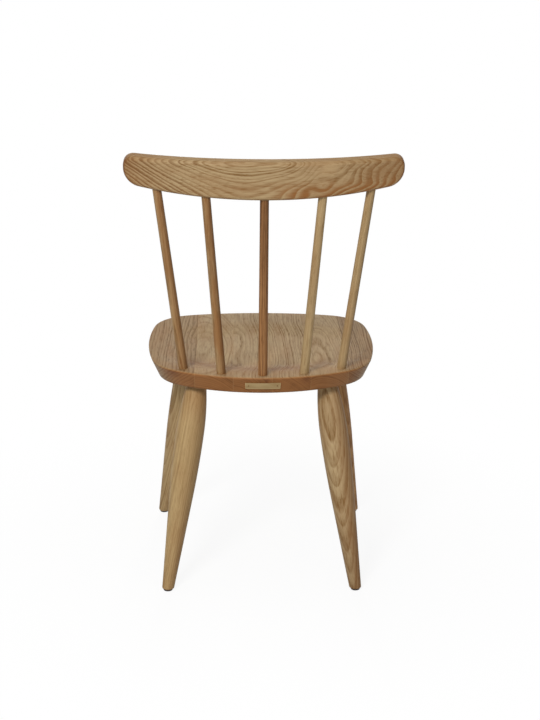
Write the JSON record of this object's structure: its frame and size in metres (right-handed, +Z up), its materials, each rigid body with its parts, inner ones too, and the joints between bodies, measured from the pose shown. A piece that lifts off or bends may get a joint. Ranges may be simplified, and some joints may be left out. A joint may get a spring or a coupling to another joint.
{
  "type": "child chair",
  "caption": "Child's spindle-back chair in oiled ash, with a dished edge-glued seat, a bent raked crest rail and splayed turned legs on nailed glides.",
  "frame": {"origin": "on the floor, under the middle of the chair's bounding box", "axes": "+Z up, -Y the way the sitter faces, +X to the sitter's left"},
  "size_m": [0.344, 0.3497, 0.5879],
  "materials": {
    "ash": "satin oil",
    "dark_plastic": "matte",
    "steel": "plain",
    "brass": "satin"
  },
  "bodies": {
    "root": {"crest_rail": "ash", "spindle_outer_left": "ash", "spindle_inner_left": "ash", "spindle_centre": "ash", "spindle_inner_right": "ash", "spindle_outer_right": "ash", "seat_board_1": "ash", "seat_board_2": "ash", "seat_board_3": "ash", "seat_board_4": "ash", "seat_board_5": "ash", "seat_board_6": "ash", "leg_back_left": "ash", "leg_back_right": "ash", "leg_front_left": "ash", "leg_front_right": "ash", "glide_back_left": "dark_plastic", "glide_back_right": "dark_plastic", "glide_front_left": "dark_plastic", "glide_front_right": "dark_plastic", "glide_nails": "steel", "blank_plate": "brass", "plate_pins": "brass"}
  },
  "joints": []
}
